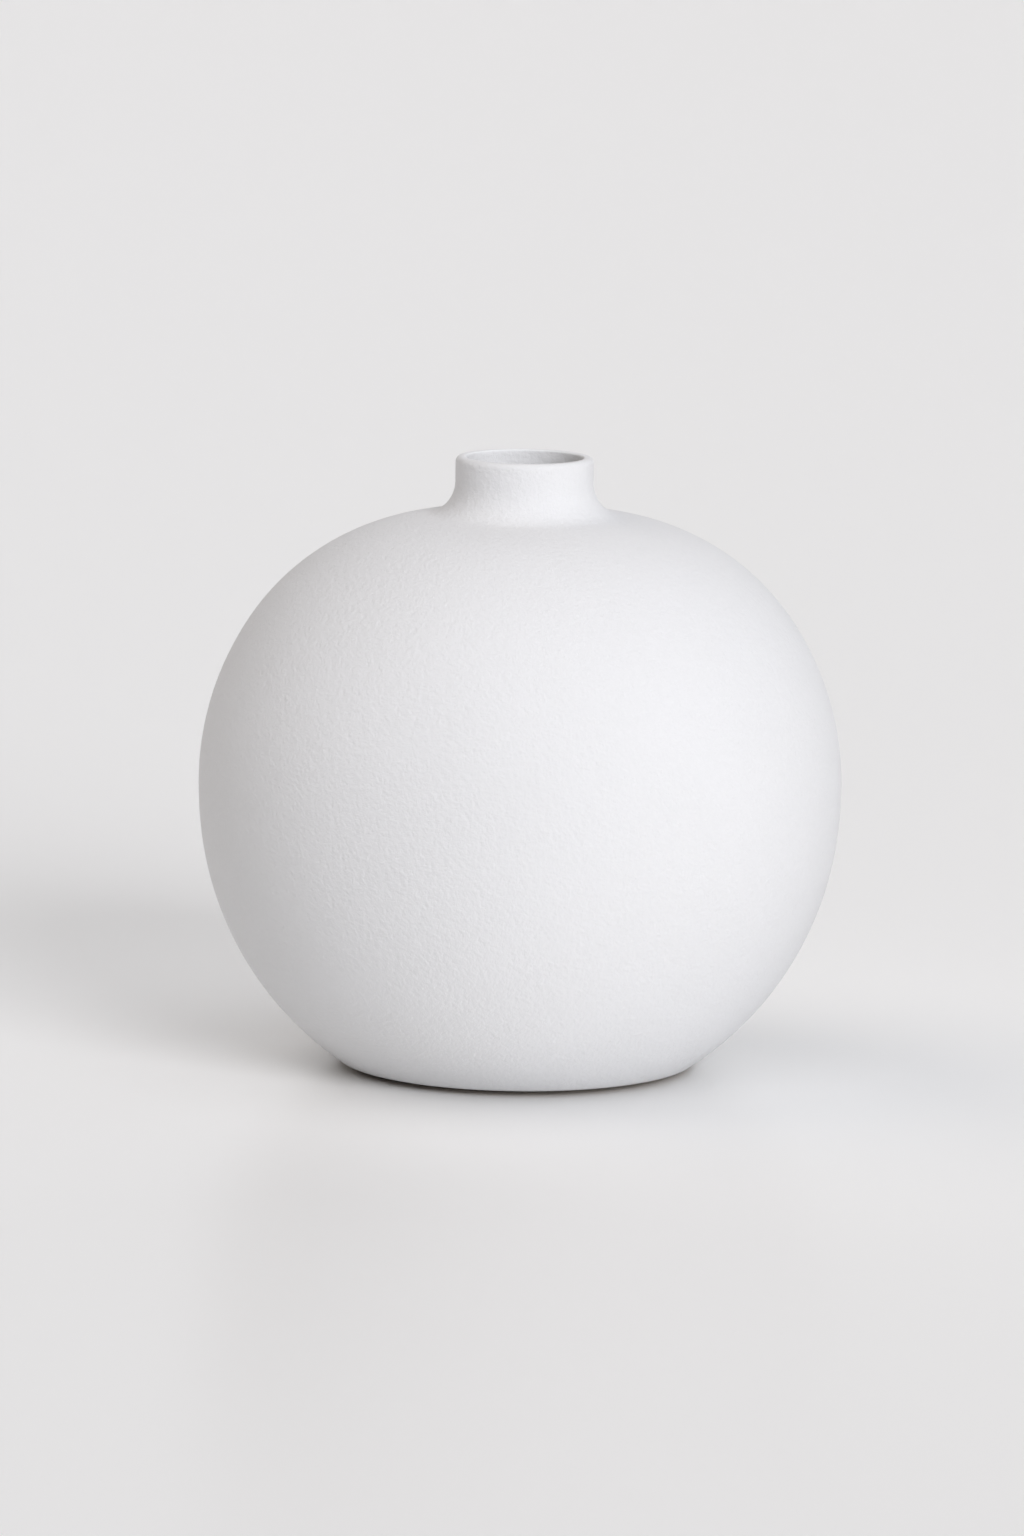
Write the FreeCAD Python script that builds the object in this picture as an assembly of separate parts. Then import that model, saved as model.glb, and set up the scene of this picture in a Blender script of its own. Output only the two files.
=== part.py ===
import FreeCAD
import Part
import math
import os

os.makedirs("parts", exist_ok=True)

# A round ceramic bud vase: one hollow pot, a sandy coat over the outside, a glaze inside and pads under the foot.
# Millimetres. Z is up, the axis of the pot is the Z axis, and Z = 0 is the surface that the pads stand on.

# Outside of the finished vase, as arcs that meet smoothly, from the foot up to the lip
BELLY_RADIUS = 75.0
LOW_ARC_RADIUS = 76.3
WAIST_ARC_RADIUS = 94.7
WAIST_ARC_ANGLE = math.radians(7.3)
SHOULDER_ARC_RADIUS = 68.4
SHOULDER_ARC_ANGLE = math.radians(33.6)
TOP_ARC_RADIUS = 56.9
THROAT_FILLET = 7.8
NECK_RADIUS = 16.1
FOOT_RADIUS = 41.8
LIP_ABOVE_BELLY = 76.6

# The lip has a wide round outside, a narrow level top and a crisper round where it turns into the bore
LIP_THICKNESS = 2.56
LIP_ROUND_OUTSIDE = 1.28
LIP_ROUND_INSIDE = 0.6

# Walls and skins
BELLY_WALL = 3.5
SKIN = 0.4
THROAT_FILLET_INSIDE = 10.4
FLOOR_THICKNESS = 5.3
FLOOR_FILLET = 14.0

# Underside
PAD_RADIUS = 4.0
PAD_HEIGHT = 1.45
PAD_EDGE_ROUND = 0.25
PAD_CIRCLE_RADIUS = 31.6
PAD_COUNT = 4
FIRST_PAD_ANGLE = math.radians(45)
RECESS_RADIUS = 27.0
RECESS_DEPTH = 1.5
RECESS_FILLET = 1.2

FOOT_Z = PAD_HEIGHT
BARE_FLOOR_Z = FOOT_Z + FLOOR_THICKNESS - SKIN
BORE_RADIUS = NECK_RADIUS - LIP_THICKNESS

# A height this close to zero counts as zero
LEVEL_TOLERANCE = 1e-6


def point(r, z):
    return FreeCAD.Vector(r, 0, z)


def on_circle(centre, radius, angle):
    return point(centre.x + radius * math.cos(angle), centre.z + radius * math.sin(angle))


def line(start, end):
    return Part.makeLine(start, end)


def arc(centre, radius, start_angle, end_angle):
    start = on_circle(centre, radius, start_angle)
    middle = on_circle(centre, radius, (start_angle + end_angle) / 2)
    end = on_circle(centre, radius, end_angle)
    return Part.Arc(start, middle, end).toShape()


# Centres of the belly's four arcs. The widest point is level with the centres of the waist and shoulder arcs.
# Where two arcs meet smoothly, their centres lie on one line through the shared point, so the next centre is
# the one before moved along that line by the change in radius.
low_centre_below_belly = (LOW_ARC_RADIUS - WAIST_ARC_RADIUS) * math.sin(WAIST_ARC_ANGLE)
low_centre_r = (
    BELLY_RADIUS - WAIST_ARC_RADIUS + (WAIST_ARC_RADIUS - LOW_ARC_RADIUS) * math.cos(WAIST_ARC_ANGLE)
)
foot_below_low_centre = math.sqrt(LOW_ARC_RADIUS ** 2 - (FOOT_RADIUS - low_centre_r) ** 2)
BELLY_Z = FOOT_Z + foot_below_low_centre - low_centre_below_belly
LIP_Z = BELLY_Z + LIP_ABOVE_BELLY

waist_centre = point(BELLY_RADIUS - WAIST_ARC_RADIUS, BELLY_Z)
low_centre = on_circle(waist_centre, WAIST_ARC_RADIUS - LOW_ARC_RADIUS, -WAIST_ARC_ANGLE)
shoulder_centre = point(BELLY_RADIUS - SHOULDER_ARC_RADIUS, BELLY_Z)
top_centre = on_circle(shoulder_centre, SHOULDER_ARC_RADIUS - TOP_ARC_RADIUS, SHOULDER_ARC_ANGLE)
lip_outer_centre = point(NECK_RADIUS - LIP_ROUND_OUTSIDE, LIP_Z - LIP_ROUND_OUTSIDE)
lip_inner_centre = point(BORE_RADIUS + LIP_ROUND_INSIDE, LIP_Z - LIP_ROUND_INSIDE)


def end_points(edge):
    return edge.valueAt(edge.FirstParameter), edge.valueAt(edge.LastParameter)


def throat(inset, neck_radius, fillet):
    # Centre of the hollow round between the top arc and the neck, and the angle where the top arc ends
    reach = TOP_ARC_RADIUS - inset + fillet
    across = neck_radius + fillet - top_centre.x
    angle = math.acos(across / reach)
    return on_circle(top_centre, reach, angle), angle


def wall_edges(inset, neck_radius, fillet, low_angle):
    # The wall's line from low_angle on the low arc up to the foot of the neck, set in by inset
    fillet_centre, top_end = throat(inset, neck_radius, fillet)
    return [
        arc(low_centre, LOW_ARC_RADIUS - inset, low_angle, -WAIST_ARC_ANGLE),
        arc(waist_centre, WAIST_ARC_RADIUS - inset, -WAIST_ARC_ANGLE, 0),
        arc(shoulder_centre, SHOULDER_ARC_RADIUS - inset, 0, SHOULDER_ARC_ANGLE),
        arc(top_centre, TOP_ARC_RADIUS - inset, SHOULDER_ARC_ANGLE, top_end),
        arc(fillet_centre, fillet, math.pi + top_end, math.pi),
    ]


def neck_line(edges_below, top_z):
    # The straight neck, from the end of the throat's round up to the start of the lip's round
    start = end_points(edges_below[-1])[1]
    return line(start, point(start.x, top_z))


def foot_angle(inset):
    # The low arc's angle where it reaches the level of the foot
    return -math.asin((low_centre.z - FOOT_Z) / (LOW_ARC_RADIUS - inset))


def floor_corner(inset, floor_z, fillet):
    # Centre of the round between the floor and the low arc inside, and the low arc's angle where they meet
    drop = low_centre.z - floor_z - fillet
    reach = LOW_ARC_RADIUS - inset - fillet
    angle = -math.asin(drop / reach)
    return on_circle(low_centre, reach, angle), angle


def lip_edges(inset):
    outer_round = arc(lip_outer_centre, LIP_ROUND_OUTSIDE - inset, 0, math.pi / 2)
    inner_round = arc(lip_inner_centre, LIP_ROUND_INSIDE - inset, math.pi / 2, math.pi)
    top = line(end_points(outer_round)[1], end_points(inner_round)[0])
    return [outer_round, top, inner_round]


def outside_edges(inset):
    # The outside from the foot over the lip, set in by inset
    edges = wall_edges(inset, NECK_RADIUS - inset, THROAT_FILLET + inset, foot_angle(inset))
    return edges + [neck_line(edges, lip_outer_centre.z)] + lip_edges(inset)


def inside_edges(glaze):
    # The hollow's floor and wall up to the foot of the neck, with this much glaze on the pot
    inset = BELLY_WALL - SKIN + glaze
    floor_z = BARE_FLOOR_Z + glaze
    fillet = FLOOR_FILLET - glaze
    corner, meet = floor_corner(inset, floor_z, fillet)
    floor_edges = [
        line(point(0, floor_z), point(corner.x, floor_z)),
        arc(corner, fillet, -math.pi / 2, meet),
    ]
    neck_radius = BORE_RADIUS + SKIN - glaze
    throat_fillet = THROAT_FILLET_INSIDE - SKIN + glaze
    return floor_edges + wall_edges(inset, neck_radius, throat_fillet, meet)


def revolve(edges):
    loop = Part.Wire(Part.__sortEdges__(edges))
    face = Part.Face(loop)
    solid = face.revolve(FreeCAD.Vector(0, 0, 0), FreeCAD.Vector(0, 0, 1), 360)
    if solid.Volume < 0:
        solid.reverse()
    return solid


def vase_body():
    outside = outside_edges(SKIN)
    inside = inside_edges(0)
    foot_outer = end_points(outside[0])[0]
    recess_z = FOOT_Z + RECESS_DEPTH
    recess_corner = point(RECESS_RADIUS - RECESS_FILLET, recess_z - RECESS_FILLET)
    underside = [
        line(point(0, BARE_FLOOR_Z), point(0, recess_z)),
        line(point(0, recess_z), point(recess_corner.x, recess_z)),
        arc(recess_corner, RECESS_FILLET, math.pi / 2, 0),
        line(point(RECESS_RADIUS, recess_corner.z), point(RECESS_RADIUS, FOOT_Z)),
        line(point(RECESS_RADIUS, FOOT_Z), foot_outer),
    ]
    return revolve(underside + outside + inside + [neck_line(inside, lip_inner_centre.z)])


def outer_coat():
    # Over the outside and the lip, and down the straight inside of the neck
    outer = outside_edges(0)
    inner = outside_edges(SKIN)
    coat_end_z = end_points(inside_edges(0)[-1])[1].z
    ends = [
        line(point(FOOT_RADIUS, FOOT_Z), end_points(inner[0])[0]),
        line(point(BORE_RADIUS, lip_inner_centre.z), point(BORE_RADIUS, coat_end_z)),
        line(point(BORE_RADIUS, coat_end_z), point(BORE_RADIUS + SKIN, coat_end_z)),
        line(point(BORE_RADIUS + SKIN, coat_end_z), point(BORE_RADIUS + SKIN, lip_inner_centre.z)),
    ]
    return revolve(outer + inner + ends)


def inner_glaze():
    # Over the floor and wall of the hollow, up to where the coat ends at the foot of the neck
    against_pot = inside_edges(0)
    wet_side = inside_edges(SKIN)
    ends = [
        line(point(0, BARE_FLOOR_Z), point(0, BARE_FLOOR_Z + SKIN)),
        line(end_points(wet_side[-1])[1], end_points(against_pot[-1])[1]),
    ]
    return revolve(against_pot + wet_side + ends)


def foot_pad(number):
    angle = FIRST_PAD_ANGLE + 2 * math.pi * number / PAD_COUNT
    centre = FreeCAD.Vector(PAD_CIRCLE_RADIUS * math.cos(angle), PAD_CIRCLE_RADIUS * math.sin(angle), 0)
    pad = Part.makeCylinder(PAD_RADIUS, PAD_HEIGHT, centre)
    low_edge = [edge for edge in pad.Edges if abs(edge.BoundBox.ZMax) < LEVEL_TOLERANCE]
    return pad.makeFillet(PAD_EDGE_ROUND, low_edge)


def save(name, shape):
    if not shape.isValid():
        raise RuntimeError(name + " is not a valid solid")
    shape.exportStep("parts/" + name + ".step")
    box = shape.BoundBox
    print(name, round(shape.Volume, 1), [round(v, 2) for v in (box.XLength, box.YLength, box.ZMin, box.ZMax)])


save("vase_body", vase_body())
save("outer_coat", outer_coat())
save("inner_glaze", inner_glaze())
for pad_number in range(PAD_COUNT):
    save("foot_pad_" + str(pad_number + 1), foot_pad(pad_number))
print("belly height", round(BELLY_Z, 3), "lip height", round(LIP_Z, 3), "bore radius", round(BORE_RADIUS, 3))
neck_low_z = end_points(inside_edges(0)[-1])[1].z
print("straight inside of the neck from", round(neck_low_z, 3), "to", round(lip_inner_centre.z, 3))
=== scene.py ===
import math
import bpy
from mathutils import Matrix, Vector, noise


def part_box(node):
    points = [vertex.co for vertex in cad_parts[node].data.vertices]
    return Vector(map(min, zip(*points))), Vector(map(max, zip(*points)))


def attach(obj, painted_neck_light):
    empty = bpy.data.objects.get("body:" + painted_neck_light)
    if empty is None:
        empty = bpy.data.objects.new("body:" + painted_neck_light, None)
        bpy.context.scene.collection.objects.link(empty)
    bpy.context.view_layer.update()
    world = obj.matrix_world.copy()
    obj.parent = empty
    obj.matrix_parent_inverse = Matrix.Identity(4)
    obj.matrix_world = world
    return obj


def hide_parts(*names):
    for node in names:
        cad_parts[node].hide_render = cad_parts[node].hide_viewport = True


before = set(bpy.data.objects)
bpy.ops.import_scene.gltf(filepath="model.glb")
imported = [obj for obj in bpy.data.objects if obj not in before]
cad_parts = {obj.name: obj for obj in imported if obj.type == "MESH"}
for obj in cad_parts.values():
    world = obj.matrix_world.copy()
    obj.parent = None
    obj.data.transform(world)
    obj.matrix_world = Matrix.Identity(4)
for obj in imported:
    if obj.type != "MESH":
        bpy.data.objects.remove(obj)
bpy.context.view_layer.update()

# ---------------------------------------------------------------- sizes, in metres
# Z is up, and the axis of the pot is the Z axis.
# An outline is a list of points, each a pair: distance from the axis, and height.
COAT_LOW, COAT_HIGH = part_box("outer_coat")
GLAZE_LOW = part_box("inner_glaze")[0]
FOOT_Z = COAT_LOW.z
LIP_Z = COAT_HIGH.z

# The outline's arcs are those of the CAD model
BELLY_RADIUS = 0.075
LOW_ARC_RADIUS = 0.0763
WAIST_ARC_RADIUS = 0.0947
WAIST_ARC_ANGLE = math.radians(7.3)
SHOULDER_ARC_RADIUS = 0.0684
SHOULDER_ARC_ANGLE = math.radians(33.6)
TOP_ARC_RADIUS = 0.0569
THROAT_FILLET = 0.0078
THROAT_FILLET_INSIDE = 0.0104
NECK_RADIUS = 0.0161
LIP_THICKNESS = 0.00256
LIP_ROUND_OUTSIDE = 0.00128
LIP_ROUND_INSIDE = 0.0006
BORE_RADIUS = NECK_RADIUS - LIP_THICKNESS
LIP_ABOVE_BELLY = 0.0766
BELLY_Z = LIP_Z - LIP_ABOVE_BELLY
BELLY_WALL = 0.0035
SKIN = 0.0004
FLOOR_FILLET = 0.014
RECESS_RADIUS = 0.027
RECESS_DEPTH = 0.0015
RECESS_FILLET = 0.0012
PAD_EDGE_ROUND = 0.0003
PAD_COUNT = 4

# Number of faces round each mesh of revolution
COAT_SEGMENTS = 400
CLAY_SEGMENTS = 240
GLAZE_SEGMENTS = 160
PAD_SEGMENTS = 96
STAGE_SEGMENTS = 128

# Furthest that two points of an outline may be apart
COAT_SPACING = 0.0011
COAT_LIP_SPACING = 0.0003
COAT_NECK_SPACING = 0.0012
COAT_HIDDEN_SPACING = 0.014
HIDDEN_LIP_SPACING = 0.0006
GLAZE_SPACING = 0.004
CLAY_OUTSIDE_SPACING = 0.006
CLAY_HOLLOW_SPACING = 0.006
CLAY_NECK_SPACING = 0.002
UNDERSIDE_SPACING = 0.0006
RECESS_WALL_SPACING = 0.0004
RECESS_ROUND_SPACING = 0.0002
STAGE_SPACING = 0.25
STAGE_RIM_SPACING = 0.15

# Unevenness of the coat: how deep each kind goes, and how many features there are to a metre
UNEVEN_DEPTH = 0.00004
UNEVEN_SCALE = 22.0
LUMP_DEPTH = 0.000012
LUMP_SCALE = 160.0
LUMP_OFFSET = Vector((7.0, 3.0, 1.0))

# Rings left by the trimming tool on the underside
RING_DEPTH = 0.00003
RING_PITCH = 0.0024

# An edge turned by more than this is shaded as a sharp one
SHARP_ANGLE = math.radians(38)
# A point this close to the axis is on it
AXIS_TOLERANCE = 1e-7

# Painted light: nearer to the axis than the first radius below (on top of the lip and down inside the neck),
# the coat's colour is painted whiter to stand in for light reaching into the neck. It is at full body tone
# from the second radius
PAINTED_NECK_LIGHT_RADIUS = 0.0149
BODY_TONE_RADIUS = 0.0155

# The stage is a flat disc with a rim that curves up. The lights' distance has no effect on their brightness.
STAGE_FLAT_RADIUS = 5.5
STAGE_RIM_RADIUS = 3.0
STAGE_RIM_END = math.radians(-40)
SUN_DISTANCE = 8.0

CAMERA_PLACE = (0.0, -1.9609, 0.38611)
CAMERA_LENS_MM = 199.54
CAMERA_SENSOR_MM = 36.0
CAMERA_YAW = math.radians(-0.056)
CAMERA_PITCH = math.radians(-9.159)
CAMERA_ROLL = math.radians(0.840)


# ---------------------------------------------------------------- outline of the pot
def on_circle(centre, radius, angle):
    return (centre[0] + radius * math.cos(angle), centre[1] + radius * math.sin(angle))


WAIST_CENTRE = (BELLY_RADIUS - WAIST_ARC_RADIUS, BELLY_Z)
LOW_CENTRE = on_circle(WAIST_CENTRE, WAIST_ARC_RADIUS - LOW_ARC_RADIUS, -WAIST_ARC_ANGLE)
SHOULDER_CENTRE = (BELLY_RADIUS - SHOULDER_ARC_RADIUS, BELLY_Z)
TOP_CENTRE = on_circle(SHOULDER_CENTRE, SHOULDER_ARC_RADIUS - TOP_ARC_RADIUS, SHOULDER_ARC_ANGLE)
LIP_OUTER_CENTRE = (NECK_RADIUS - LIP_ROUND_OUTSIDE, LIP_Z - LIP_ROUND_OUTSIDE)
LIP_INNER_CENTRE = (BORE_RADIUS + LIP_ROUND_INSIDE, LIP_Z - LIP_ROUND_INSIDE)


def arc_points(centre, radius, start, end, spacing):
    # Points along an arc, both ends included, no further apart than spacing
    count = max(2, math.ceil(abs(end - start) * radius / spacing))
    return [on_circle(centre, radius, start + (end - start) * i / count) for i in range(count + 1)]


def line_points(start, end, spacing):
    # Points along a straight line, both ends included, no further apart than spacing
    length = math.hypot(end[0] - start[0], end[1] - start[1])
    count = max(1, math.ceil(length / spacing))
    return [
        (start[0] + (end[0] - start[0]) * i / count, start[1] + (end[1] - start[1]) * i / count)
        for i in range(count + 1)
    ]


def join(*runs):
    # One list of points from several runs, without the point that two runs share
    joined = list(runs[0])
    for run in runs[1:]:
        joined.extend(run[1:])
    return joined


def throat(inset, neck_radius, fillet):
    # Centre of the hollow round between the top arc and the neck, and the angle where the top arc ends
    reach = TOP_ARC_RADIUS - inset + fillet
    angle = math.acos((neck_radius + fillet - TOP_CENTRE[0]) / reach)
    return on_circle(TOP_CENTRE, reach, angle), angle


def wall_points(inset, neck_radius, fillet, low_angle, spacing):
    # The belly's wall from low_angle up to the foot of the neck, set in by inset
    fillet_centre, top_end = throat(inset, neck_radius, fillet)
    return join(
        arc_points(LOW_CENTRE, LOW_ARC_RADIUS - inset, low_angle, -WAIST_ARC_ANGLE, spacing),
        arc_points(WAIST_CENTRE, WAIST_ARC_RADIUS - inset, -WAIST_ARC_ANGLE, 0, spacing),
        arc_points(SHOULDER_CENTRE, SHOULDER_ARC_RADIUS - inset, 0, SHOULDER_ARC_ANGLE, spacing),
        arc_points(TOP_CENTRE, TOP_ARC_RADIUS - inset, SHOULDER_ARC_ANGLE, top_end, spacing),
        arc_points(fillet_centre, fillet, math.pi + top_end, math.pi, min(spacing, fillet / 8)),
    )


def foot_angle(inset):
    # The low arc's angle where it reaches the level of the foot
    return -math.asin((LOW_CENTRE[1] - FOOT_Z) / (LOW_ARC_RADIUS - inset))


def outside_points(inset, spacing):
    # From the foot's edge up to the start of the lip's round
    wall = wall_points(inset, NECK_RADIUS - inset, THROAT_FILLET + inset, foot_angle(inset), spacing)
    neck = line_points(wall[-1], (NECK_RADIUS - inset, LIP_OUTER_CENTRE[1]), spacing)
    return join(wall, neck)


def lip_points(inset, spacing):
    # Over the lip, from the neck's outside to the start of the bore
    top_z = LIP_Z - inset
    return join(
        arc_points(LIP_OUTER_CENTRE, LIP_ROUND_OUTSIDE - inset, 0, math.pi / 2, spacing),
        line_points((LIP_OUTER_CENTRE[0], top_z), (LIP_INNER_CENTRE[0], top_z), spacing),
        arc_points(LIP_INNER_CENTRE, LIP_ROUND_INSIDE - inset, math.pi / 2, math.pi, spacing / 2),
    )


def inside_points(glaze, spacing):
    # The hollow's floor and wall, from the axis up to the foot of the neck, with this much glaze on the pot
    inset = BELLY_WALL - SKIN + glaze
    floor_z = GLAZE_LOW.z + glaze
    fillet = FLOOR_FILLET - glaze
    drop = LOW_CENTRE[1] - floor_z - fillet
    reach = LOW_ARC_RADIUS - inset - fillet
    meet = -math.asin(drop / reach)
    corner = on_circle(LOW_CENTRE, reach, meet)
    neck_radius = BORE_RADIUS + SKIN - glaze
    throat_fillet = THROAT_FILLET_INSIDE - SKIN + glaze
    return join(
        line_points((0.0, floor_z), (corner[0], floor_z), spacing),
        arc_points(corner, fillet, -math.pi / 2, meet, spacing),
        wall_points(inset, neck_radius, throat_fillet, meet, spacing),
    )


def coat_end():
    # Where the coat ends inside the neck, which is the top of the hollow's wall
    return inside_points(0.0, CLAY_HOLLOW_SPACING)[-1]


# ---------------------------------------------------------------- mesh of revolution
def outward_normals(outline):
    # For a closed loop of points that runs anticlockwise in the (r, z) plane
    normals = []
    count = len(outline)
    for i in range(count):
        before = outline[i - 1]
        after = outline[(i + 1) % count]
        dr = after[0] - before[0]
        dz = after[1] - before[1]
        length = math.hypot(dr, dz) or 1.0
        normals.append((dz / length, -dr / length))
    return normals


def revolve(name, outline, segments, relief=None, closed=True):
    # Turns an outline about the Z axis. relief(point, index) gives how far a point is sunk below the
    # surface, where index is the point's place in the outline. If the outline is closed, its last point is
    # joined to its first.
    normals = outward_normals(outline)
    verts = []
    rings = []
    for i, (r, z) in enumerate(outline):
        if r < AXIS_TOLERANCE:
            rings.append([len(verts)])
            verts.append(Vector((0.0, 0.0, z)))
            continue
        rings.append(list(range(len(verts), len(verts) + segments)))
        nr, nz = normals[i]
        for k in range(segments):
            a = 2 * math.pi * k / segments
            c, s = math.cos(a), math.sin(a)
            point = Vector((r * c, r * s, z))
            if relief is not None:
                point -= Vector((nr * c, nr * s, nz)) * relief(point, i)
            verts.append(point)
    faces = []
    pairs = len(rings) if closed else len(rings) - 1
    for i in range(pairs):
        low, high = rings[i], rings[(i + 1) % len(rings)]
        if len(low) == 1 and len(high) == 1:
            continue
        for k in range(segments):
            n = (k + 1) % segments
            if len(low) == 1:
                faces.append((low[0], high[n], high[k]))
            elif len(high) == 1:
                faces.append((low[k], low[n], high[0]))
            else:
                faces.append((low[k], low[n], high[n], high[k]))
    mesh = bpy.data.meshes.new(name)
    mesh.from_pydata([tuple(v) for v in verts], [], faces)
    mesh.shade_smooth()
    mesh.set_sharp_from_angle(angle=SHARP_ANGLE)
    piece = bpy.data.objects.new(name, mesh)
    bpy.context.collection.objects.link(piece)
    return piece


# ---------------------------------------------------------------- pieces
def coat_piece():
    # Over the outside and the lip, and down the straight inside of the neck
    coat_end_z = coat_end()[1]
    outer = join(outside_points(0.0, COAT_SPACING), lip_points(0.0, COAT_LIP_SPACING))
    outer = join(outer, line_points(outer[-1], (BORE_RADIUS, coat_end_z), COAT_NECK_SPACING))
    shown = len(outer)
    inner = join(outside_points(SKIN, COAT_HIDDEN_SPACING), lip_points(SKIN, HIDDEN_LIP_SPACING))
    inner = join(inner, [inner[-1], (BORE_RADIUS + SKIN, coat_end_z)])
    outline = outer + inner[::-1]

    def relief(point, index):
        if index >= shown:
            return 0.0
        broad = noise.noise(point * UNEVEN_SCALE)
        lumps = noise.noise(point * LUMP_SCALE + LUMP_OFFSET)
        return UNEVEN_DEPTH * (1 + broad) + LUMP_DEPTH * (1 + lumps)

    return revolve("sandy_coat", outline, COAT_SEGMENTS, relief)


def glaze_piece():
    against_pot = inside_points(0.0, GLAZE_SPACING)
    wet_side = inside_points(SKIN, GLAZE_SPACING)
    return revolve("glaze_lining", against_pot + wet_side[::-1], GLAZE_SEGMENTS)


def clay_piece():
    recess_z = FOOT_Z + RECESS_DEPTH
    corner = (RECESS_RADIUS - RECESS_FILLET, recess_z - RECESS_FILLET)
    outside = join(outside_points(SKIN, CLAY_OUTSIDE_SPACING), lip_points(SKIN, HIDDEN_LIP_SPACING))
    underside = join(
        line_points((0.0, recess_z), (corner[0], recess_z), UNDERSIDE_SPACING),
        arc_points(corner, RECESS_FILLET, math.pi / 2, 0, RECESS_ROUND_SPACING),
        line_points((RECESS_RADIUS, corner[1]), (RECESS_RADIUS, FOOT_Z), RECESS_WALL_SPACING),
        line_points((RECESS_RADIUS, FOOT_Z), outside[0], UNDERSIDE_SPACING),
    )
    marked = len(underside)
    hollow = inside_points(0.0, CLAY_HOLLOW_SPACING)[::-1]
    neck_inside = line_points(outside[-1], coat_end(), CLAY_NECK_SPACING)
    outline = join(underside, outside, neck_inside, hollow)

    def relief(point, index):
        if index >= marked:
            return 0.0
        radius = math.hypot(point.x, point.y)
        return RING_DEPTH * (1 + math.sin(radius * 2 * math.pi / RING_PITCH))

    return revolve("clay_body", outline, CLAY_SEGMENTS, relief)


def pad_piece(number):
    # A disc with its lower edge rounded, and its upper edge rounded half as much
    low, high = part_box("foot_pad_" + str(number))
    centre = (low + high) / 2
    radius = (high.x - low.x) / 2
    height = high.z - low.z
    round_radius = PAD_EDGE_ROUND
    low_corner = (radius - round_radius, low.z + round_radius)
    high_corner = (radius - round_radius / 2, high.z - round_radius / 2)
    outline = join(
        [(0.0, low.z), (radius * 0.5, low.z), (low_corner[0], low.z)],
        arc_points(low_corner, round_radius, -math.pi / 2, 0, round_radius / 4),
        line_points((radius, low_corner[1]), (radius, high_corner[1]), height / 3),
        arc_points(high_corner, round_radius / 2, 0, math.pi / 2, round_radius / 4),
        [(high_corner[0], high.z), (radius * 0.5, high.z), (0.0, high.z)],
    )
    piece = revolve("rubber_pad_" + str(number), outline, PAD_SEGMENTS)
    for vertex in piece.data.vertices:
        vertex.co += Vector((centre.x, centre.y, 0.0))
    return piece


# ---------------------------------------------------------------- materials
def new_material(name):
    material = bpy.data.materials.new(name)
    material.use_nodes = True
    nodes = material.node_tree.nodes
    return material, nodes, material.node_tree.links, nodes["Principled BSDF"]


def object_coordinates(nodes):
    return nodes.new("ShaderNodeTexCoord").outputs["Object"]


def noise_node(nodes, links, coordinates, scale, detail, roughness=0.5):
    node = nodes.new("ShaderNodeTexNoise")
    node.inputs["Scale"].default_value = scale
    node.inputs["Detail"].default_value = detail
    node.inputs["Roughness"].default_value = roughness
    links.new(coordinates, node.inputs["Vector"])
    return node


def ramp_node(nodes, links, source, low, high, low_at=0.3, high_at=0.7):
    # Colour low up to low_at, blending to colour high at high_at
    node = nodes.new("ShaderNodeValToRGB")
    node.color_ramp.elements[0].position = low_at
    node.color_ramp.elements[0].color = (*low, 1.0)
    node.color_ramp.elements[1].position = high_at
    node.color_ramp.elements[1].color = (*high, 1.0)
    links.new(source, node.inputs["Fac"])
    return node


def range_node(nodes, links, source, low, high):
    node = nodes.new("ShaderNodeMapRange")
    node.inputs["To Min"].default_value = low
    node.inputs["To Max"].default_value = high
    links.new(source, node.inputs["Value"])
    return node


def multiply_node(nodes, links, first, second):
    node = nodes.new("ShaderNodeVectorMath")
    node.operation = "MULTIPLY"
    links.new(first, node.inputs[0])
    links.new(second, node.inputs[1])
    return node.outputs["Vector"]


def bump_node(nodes, links, height, distance, strength, previous=None):
    node = nodes.new("ShaderNodeBump")
    node.inputs["Distance"].default_value = distance
    node.inputs["Strength"].default_value = strength
    links.new(height, node.inputs["Height"])
    if previous is not None:
        links.new(previous, node.inputs["Normal"])
    return node


def radius_node(nodes, links, coordinates):
    # Distance of a point from the axis of the pot
    level = nodes.new("ShaderNodeVectorMath")
    level.operation = "MULTIPLY"
    level.inputs[1].default_value = (1.0, 1.0, 0.0)
    links.new(coordinates, level.inputs[0])
    length = nodes.new("ShaderNodeVectorMath")
    length.operation = "LENGTH"
    links.new(level.outputs["Vector"], length.inputs[0])
    return length.outputs["Value"]


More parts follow.
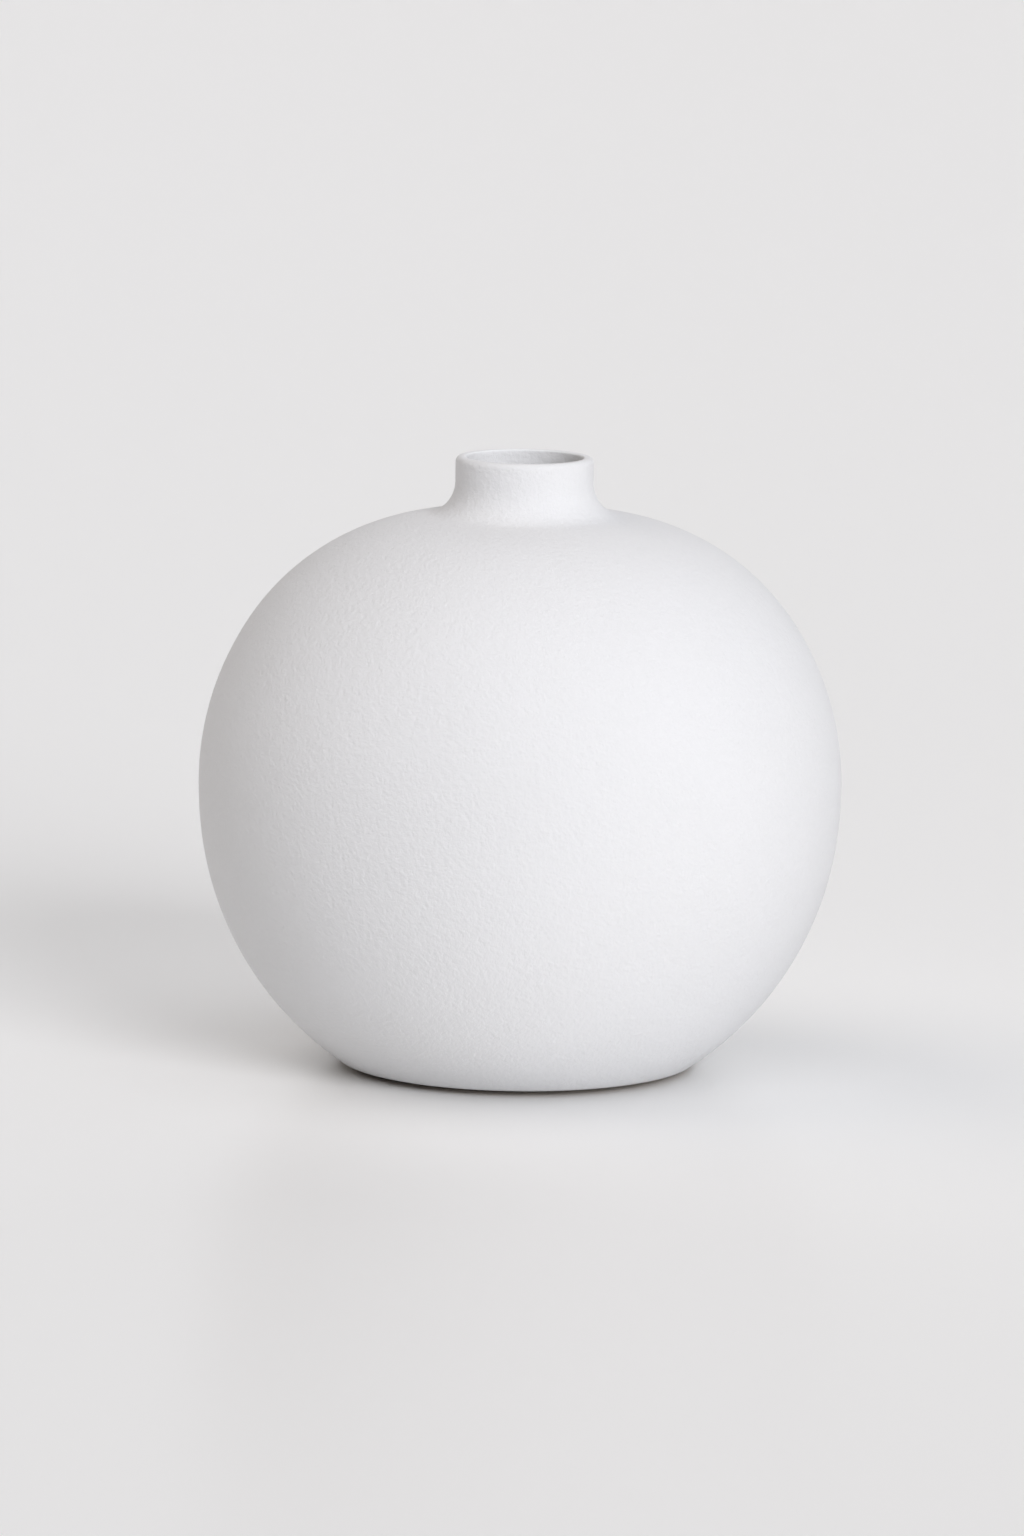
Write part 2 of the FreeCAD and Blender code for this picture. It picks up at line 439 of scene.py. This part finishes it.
def coat_material():
    material, nodes, links, shader = new_material("sandy_matte_coat")
    coordinates = object_coordinates(nodes)
    clouds = noise_node(nodes, links, coordinates, scale=30.0, detail=3.0)
    tint = ramp_node(nodes, links, clouds.outputs["Fac"], (0.917, 0.920, 0.933), (0.931, 0.934, 0.949))
    # Painted light: the coat is painted whiter on top of the lip and down inside the neck. This stands in
    # for light reaching into the neck's hollow, which would otherwise lie in shade
    radius = radius_node(nodes, links, coordinates)
    white = (1.0, 1.0, 1.0)
    body_tone = (0.865, 0.865, 0.865)
    painted_neck_light = ramp_node(nodes, links, radius, white, body_tone, PAINTED_NECK_LIGHT_RADIUS, BODY_TONE_RADIUS)
    toned = multiply_node(nodes, links, tint.outputs["Color"], painted_neck_light.outputs["Color"])
    sand = noise_node(nodes, links, coordinates, scale=1100.0, detail=2.0, roughness=0.6)
    speckle = ramp_node(nodes, links, sand.outputs["Fac"], (0.985, 0.985, 0.985), white)
    colour = multiply_node(nodes, links, toned, speckle.outputs["Color"])
    links.new(colour, shader.inputs["Base Color"])
    rough = range_node(nodes, links, sand.outputs["Fac"], low=0.84, high=0.96)
    links.new(rough.outputs["Result"], shader.inputs["Roughness"])
    shader.inputs["Specular IOR Level"].default_value = 0.3
    pebbles = noise_node(nodes, links, coordinates, scale=620.0, detail=2.0, roughness=0.6)
    lumps = bump_node(nodes, links, pebbles.outputs["Fac"], distance=0.00016, strength=1.0)
    grains = bump_node(
        nodes, links, sand.outputs["Fac"], distance=0.00014, strength=1.0, previous=lumps.outputs["Normal"]
    )
    links.new(grains.outputs["Normal"], shader.inputs["Normal"])
    return material


def glaze_material():
    material, nodes, links, shader = new_material("clear_glaze_on_white")
    coordinates = object_coordinates(nodes)
    clouds = noise_node(nodes, links, coordinates, scale=60.0, detail=4.0)
    tint = ramp_node(nodes, links, clouds.outputs["Fac"], (0.74, 0.735, 0.72), (0.79, 0.785, 0.775))
    links.new(tint.outputs["Color"], shader.inputs["Base Color"])
    shader.inputs["Roughness"].default_value = 0.16
    ripple = bump_node(nodes, links, clouds.outputs["Fac"], distance=0.0002, strength=0.4)
    links.new(ripple.outputs["Normal"], shader.inputs["Normal"])
    return material


def clay_material():
    material, nodes, links, shader = new_material("bare_fired_clay")
    coordinates = object_coordinates(nodes)
    clouds = noise_node(nodes, links, coordinates, scale=90.0, detail=5.0)
    tint = ramp_node(nodes, links, clouds.outputs["Fac"], (0.36, 0.28, 0.21), (0.46, 0.37, 0.29))
    links.new(tint.outputs["Color"], shader.inputs["Base Color"])
    shader.inputs["Roughness"].default_value = 0.85
    grit = noise_node(nodes, links, coordinates, scale=2200.0, detail=2.0)
    bump = bump_node(nodes, links, grit.outputs["Fac"], distance=0.00008, strength=0.6)
    links.new(bump.outputs["Normal"], shader.inputs["Normal"])
    return material


def pad_material():
    material, nodes, links, shader = new_material("soft_grey_rubber")
    coordinates = object_coordinates(nodes)
    mottle = noise_node(nodes, links, coordinates, scale=1500.0, detail=2.0)
    tint = ramp_node(nodes, links, mottle.outputs["Fac"], (0.045, 0.043, 0.041), (0.065, 0.062, 0.060))
    links.new(tint.outputs["Color"], shader.inputs["Base Color"])
    shader.inputs["Roughness"].default_value = 0.8
    bump = bump_node(nodes, links, mottle.outputs["Fac"], distance=0.00005, strength=0.5)
    links.new(bump.outputs["Normal"], shader.inputs["Normal"])
    return material


def stage_material():
    material, nodes, links, shader = new_material("pale_stage")
    shader.inputs["Base Color"].default_value = (0.91, 0.91, 0.905, 1.0)
    shader.inputs["Roughness"].default_value = 0.30
    shader.inputs["Specular IOR Level"].default_value = 0.12
    return material


def install(piece, node, material):
    piece.data.materials.append(material)
    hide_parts(node)
    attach(piece, "root")


def build_vase():
    install(coat_piece(), "outer_coat", coat_material())
    install(glaze_piece(), "inner_glaze", glaze_material())
    install(clay_piece(), "vase_body", clay_material())
    rubber = pad_material()
    for number in range(1, PAD_COUNT + 1):
        install(pad_piece(number), "foot_pad_" + str(number), rubber)


# ---------------------------------------------------------------- stage, light and camera
def build_stage():
    # A wide round sheet of pale card that turns up a little far from the vase on every side
    flat = line_points((0.0, 0.0), (STAGE_FLAT_RADIUS, 0.0), STAGE_SPACING)
    rim_centre = (STAGE_FLAT_RADIUS, STAGE_RIM_RADIUS)
    rim = arc_points(rim_centre, STAGE_RIM_RADIUS, -math.pi / 2, STAGE_RIM_END, STAGE_RIM_SPACING)
    stage = revolve("stage", join(flat, rim), STAGE_SEGMENTS, closed=False)
    stage.data.materials.append(stage_material())


def far_light(name, azimuth, elevation, spread, strength, colour):
    # A soft light that is equally bright all over the stage. Azimuth 0 is the camera's side and 90 is its
    # right. Spread is the light's width. All three angles are in degrees.
    data = bpy.data.lights.new(name, "SUN")
    data.angle = math.radians(spread)
    data.energy = strength
    data.color = colour
    a = math.radians(azimuth)
    e = math.radians(elevation)
    towards = Vector((math.sin(a) * math.cos(e), -math.cos(a) * math.cos(e), math.sin(e)))
    light = bpy.data.objects.new(name, data)
    light.location = Vector((0.0, 0.0, BELLY_Z)) + towards * SUN_DISTANCE
    light.rotation_mode = "QUATERNION"
    light.rotation_quaternion = towards.to_track_quat("Z", "Y")
    light.visible_camera = False
    bpy.context.collection.objects.link(light)


def build_lights():
    far_light(
        "key_light", azimuth=30, elevation=21, spread=30, strength=2.06, colour=(0.99, 0.99, 1.01)
    )
    far_light(
        "left_light", azimuth=-104, elevation=46, spread=52, strength=0.70, colour=(1.09, 1.00, 0.92)
    )
    far_light(
        "back_light", azimuth=165, elevation=22, spread=52, strength=0.52, colour=(0.98, 0.99, 1.02)
    )
    far_light(
        "right_light", azimuth=96, elevation=48, spread=52, strength=0.36, colour=(0.99, 0.99, 1.02)
    )
    far_light(
        "overhead_light", azimuth=0, elevation=74, spread=60, strength=0.80, colour=(0.99, 0.99, 1.02)
    )
    world = bpy.data.worlds.new("studio")
    world.use_nodes = True
    background = world.node_tree.nodes["Background"]
    background.inputs["Color"].default_value = (1.0, 1.0, 1.0, 1.0)
    background.inputs["Strength"].default_value = 0.03
    bpy.context.scene.world = world


def build_camera():
    data = bpy.data.cameras.new("camera")
    data.sensor_width = CAMERA_SENSOR_MM
    data.lens = CAMERA_LENS_MM
    data.clip_start = 0.1
    data.clip_end = 20.0
    camera = bpy.data.objects.new("camera", data)
    turn = Matrix.Rotation(-CAMERA_YAW, 4, "Z") @ Matrix.Rotation(math.pi / 2 + CAMERA_PITCH, 4, "X")
    turn = turn @ Matrix.Rotation(CAMERA_ROLL, 4, "Z")
    camera.matrix_world = Matrix.Translation(CAMERA_PLACE) @ turn
    bpy.context.collection.objects.link(camera)
    bpy.context.scene.camera = camera


def set_colour_view():
    settings = bpy.context.scene.view_settings
    settings.view_transform = "Standard"
    settings.look = "None"
    settings.exposure = 0.0
    settings.gamma = 1.0


build_vase()
build_stage()
build_lights()
build_camera()
set_colour_view()
